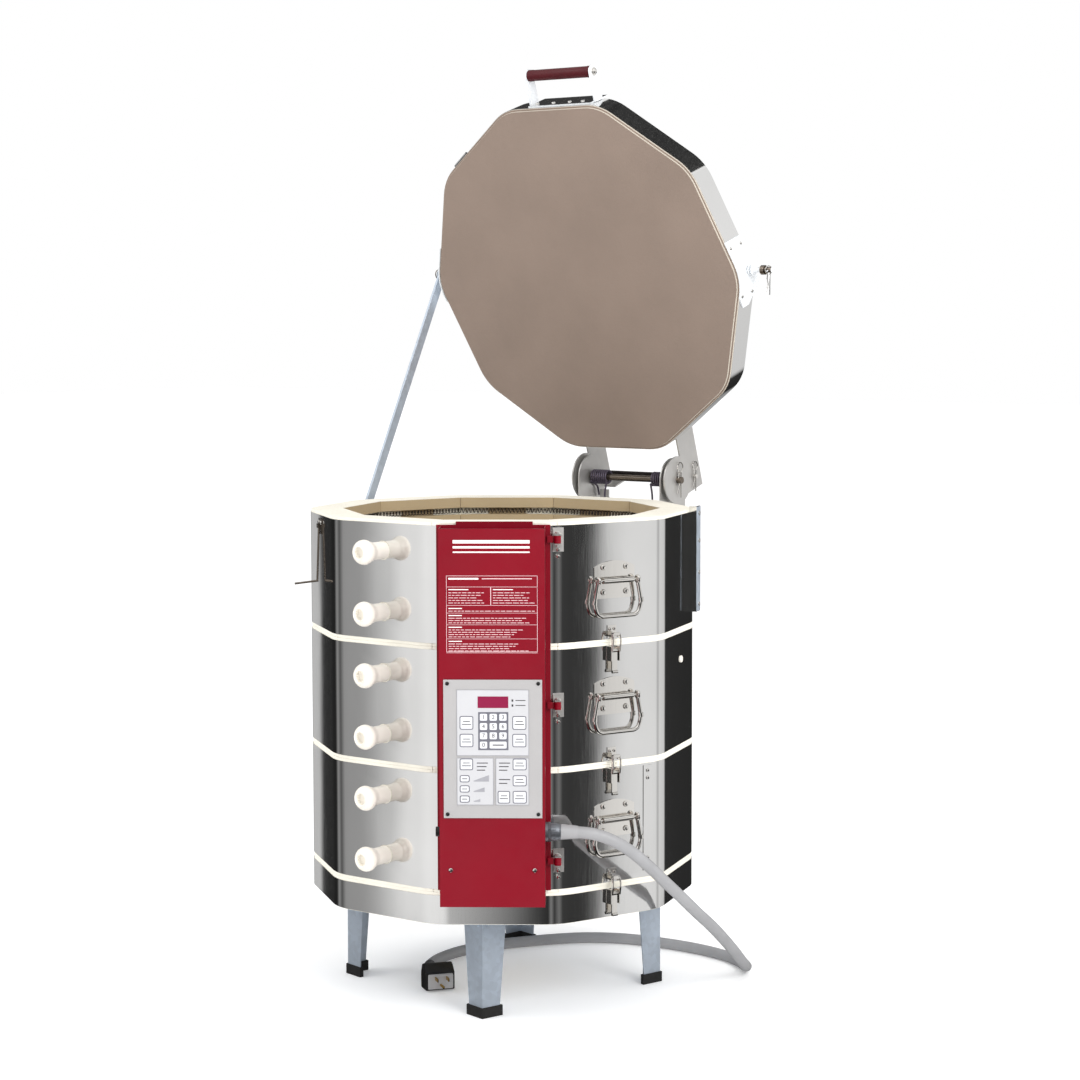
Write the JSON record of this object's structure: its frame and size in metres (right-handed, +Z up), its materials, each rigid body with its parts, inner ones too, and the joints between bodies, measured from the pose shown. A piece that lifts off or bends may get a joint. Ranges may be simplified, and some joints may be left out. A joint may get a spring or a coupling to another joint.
{
  "type": "pottery kiln",
  "caption": "Ten-sided electric pottery kiln with stacked brick rings in steel jackets, a hinged lid on a prop arm, a swing-out control box and a mains cord.",
  "frame": {"origin": "on the kiln body's vertical axis, at the level of the floor that its feet stand on", "axes": "+Z up; -Y is the face with the peepholes, +Y the lid hinge, +X the side that the control box is hinged towards"},
  "size_m": [0.872, 0.9588, 1.7974],
  "materials": {
    "firebrick": "matte",
    "lid_firebrick": "matte",
    "jacket_steel": "polished",
    "red_sheet": "satin",
    "galvanised": "satin",
    "foot_rubber": "matte",
    "plate_steel": "satin",
    "nickel": "gloss",
    "rod_steel": "satin",
    "spring_steel": "satin",
    "element_wire": "satin",
    "white_ceramic": "satin",
    "white_bar": "satin",
    "grip_plastic": "gloss",
    "keypad_grey": "satin",
    "membrane": "satin",
    "circuit": "satin",
    "dark_plastic": "satin",
    "gland_metal": "satin",
    "cord_grey": "satin",
    "plug_black": "satin"
  },
  "bodies": {
    "root": {"stand_pan": "galvanised", "stand_legs": "galvanised", "stand_feet": "foot_rubber", "floor_slab": "firebrick", "floor_band": "jacket_steel", "bottom_ring_bricks": "firebrick", "middle_ring_bricks": "firebrick", "top_ring_bricks": "firebrick", "bottom_ring_jacket": "jacket_steel", "middle_ring_jacket": "jacket_steel", "top_ring_jacket": "jacket_steel", "heating_elements": "element_wire", "element_terminals": "white_ceramic", "thermocouple": "white_ceramic", "box_hinge_brackets": "plate_steel", "handle_plates": "nickel", "latch_plates": "nickel", "hinge_cheeks": "plate_steel", "hinge_rod": "rod_steel", "hinge_springs": "spring_steel", "arm_bracket": "plate_steel", "wire_hook": "rod_steel", "power_cord": "cord_grey", "power_plug": "plug_black"},
    "lid": {"lid_slab": "lid_firebrick", "lid_band": "jacket_steel", "lid_handle_frame": "white_bar", "lid_handle_grip": "grip_plastic", "lid_hinge_plates": "plate_steel", "lid_pivot_brackets": "white_bar"},
    "prop_arm": {"lid_arm": "galvanised"},
    "arm_guide": {"arm_guide": "plate_steel"},
    "control_box": {"box_cover": "red_sheet", "box_back_plate": "red_sheet", "keypad_panel": "keypad_grey", "keypad_membrane": "membrane", "circuit_board": "circuit", "transformer": "spring_steel", "relays": "dark_plastic", "fuse_holder": "dark_plastic", "cord_gland": "gland_metal", "power_cord_stub": "cord_grey"},
    "peephole_plug_1": {"peephole_plug_1": "white_ceramic"},
    "peephole_plug_2": {"peephole_plug_2": "white_ceramic"},
    "peephole_plug_3": {"peephole_plug_3": "white_ceramic"},
    "peephole_plug_4": {"peephole_plug_4": "white_ceramic"},
    "peephole_plug_5": {"peephole_plug_5": "white_ceramic"},
    "peephole_plug_6": {"peephole_plug_6": "white_ceramic"},
    "lift_bail_1": {"lift_bail_1": "nickel"},
    "lift_bail_2": {"lift_bail_2": "nickel"},
    "lift_bail_3": {"lift_bail_3": "nickel"},
    "lift_bail_4": {"lift_bail_4": "nickel"},
    "lift_bail_5": {"lift_bail_5": "nickel"},
    "lift_bail_6": {"lift_bail_6": "nickel"},
    "latch_lever_1": {"latch_lever_1": "nickel"},
    "latch_lever_2": {"latch_lever_2": "nickel"},
    "latch_lever_3": {"latch_lever_3": "nickel"},
    "latch_lever_4": {"latch_lever_4": "nickel"},
    "latch_lever_5": {"latch_lever_5": "nickel"},
    "latch_lever_6": {"latch_lever_6": "nickel"}
  },
  "joints": [
    {"name": "lid_hinge", "type": "hinge", "parent": "root", "child": "lid", "pos_m": [0, 0.438, 0.97], "axis": [1, 0, 0], "range_deg": [0, 71.9]},
    {"name": "arm_pivot", "type": "hinge", "parent": "lid", "child": "prop_arm", "pos_m": [-0.397, 0.30419, 1.39548], "axis": [1, 0, 0], "range_deg": [-36, 0]},
    {"name": "arm_guide_pivot", "type": "hinge", "parent": "root", "child": "arm_guide", "pos_m": [-0.397, 0.0138, 0.83217], "axis": [1, 0, 0], "range_deg": [0, 36]},
    {"name": "box_hinge", "type": "hinge", "parent": "root", "child": "control_box", "pos_m": [0.31346, -0.23579, 0.372], "axis": [0, 0, 1], "range_deg": [0, 50]},
    {"name": "peephole_plug_1_slide", "type": "slide", "parent": "root", "child": "peephole_plug_1", "axis": [0, -1, 0], "range_m": [0, 0.09]},
    {"name": "peephole_plug_2_slide", "type": "slide", "parent": "root", "child": "peephole_plug_2", "axis": [0, -1, 0], "range_m": [0, 0.09]},
    {"name": "peephole_plug_3_slide", "type": "slide", "parent": "root", "child": "peephole_plug_3", "axis": [0, -1, 0], "range_m": [0, 0.09]},
    {"name": "peephole_plug_4_slide", "type": "slide", "parent": "root", "child": "peephole_plug_4", "axis": [0, -1, 0], "range_m": [0, 0.09]},
    {"name": "peephole_plug_5_slide", "type": "slide", "parent": "root", "child": "peephole_plug_5", "axis": [0, -1, 0], "range_m": [0, 0.09]},
    {"name": "peephole_plug_6_slide", "type": "slide", "parent": "root", "child": "peephole_plug_6", "axis": [0, -1, 0], "range_m": [0, 0.09]},
    {"name": "lift_bail_1_hinge", "type": "hinge", "parent": "root", "child": "lift_bail_1", "pos_m": [0.35626, -0.10735, 0.376], "axis": [-0.309, -0.9511, 0], "range_deg": [0, 85]},
    {"name": "lift_bail_2_hinge", "type": "hinge", "parent": "root", "child": "lift_bail_2", "pos_m": [0.35626, -0.10735, 0.606], "axis": [-0.309, -0.9511, 0], "range_deg": [0, 85]},
    {"name": "lift_bail_3_hinge", "type": "hinge", "parent": "root", "child": "lift_bail_3", "pos_m": [0.35626, -0.10735, 0.822], "axis": [-0.309, -0.9511, 0], "range_deg": [0, 85]},
    {"name": "latch_lever_1_hinge", "type": "hinge", "parent": "root", "child": "latch_lever_1", "pos_m": [0.35156, -0.11213, 0.236], "axis": [-0.309, -0.9511, 0], "range_deg": [0, 100]},
    {"name": "latch_lever_2_hinge", "type": "hinge", "parent": "root", "child": "latch_lever_2", "pos_m": [0.35156, -0.11213, 0.464], "axis": [-0.309, -0.9511, 0], "range_deg": [0, 100]},
    {"name": "latch_lever_3_hinge", "type": "hinge", "parent": "root", "child": "latch_lever_3", "pos_m": [0.35156, -0.11213, 0.692], "axis": [-0.309, -0.9511, 0], "range_deg": [0, 100]},
    {"name": "lift_bail_4_hinge", "type": "hinge", "parent": "root", "child": "lift_bail_4", "pos_m": [-0.35626, 0.10735, 0.376], "axis": [0.309, 0.9511, 0], "range_deg": [0, 85]},
    {"name": "lift_bail_5_hinge", "type": "hinge", "parent": "root", "child": "lift_bail_5", "pos_m": [-0.35626, 0.10735, 0.606], "axis": [0.309, 0.9511, 0], "range_deg": [0, 85]},
    {"name": "lift_bail_6_hinge", "type": "hinge", "parent": "root", "child": "lift_bail_6", "pos_m": [-0.35626, 0.10735, 0.822], "axis": [0.309, 0.9511, 0], "range_deg": [0, 85]},
    {"name": "latch_lever_4_hinge", "type": "hinge", "parent": "root", "child": "latch_lever_4", "pos_m": [-0.35156, 0.11213, 0.236], "axis": [0.309, 0.9511, 0], "range_deg": [0, 100]},
    {"name": "latch_lever_5_hinge", "type": "hinge", "parent": "root", "child": "latch_lever_5", "pos_m": [-0.35156, 0.11213, 0.464], "axis": [0.309, 0.9511, 0], "range_deg": [0, 100]},
    {"name": "latch_lever_6_hinge", "type": "hinge", "parent": "root", "child": "latch_lever_6", "pos_m": [-0.35156, 0.11213, 0.692], "axis": [0.309, 0.9511, 0], "range_deg": [0, 100]}
  ],
  "couplings": [
    {"joint": "arm_pivot", "follows": "lid_hinge", "ratio": -0.5},
    {"joint": "arm_guide_pivot", "follows": "lid_hinge", "ratio": 0.5}
  ]
}
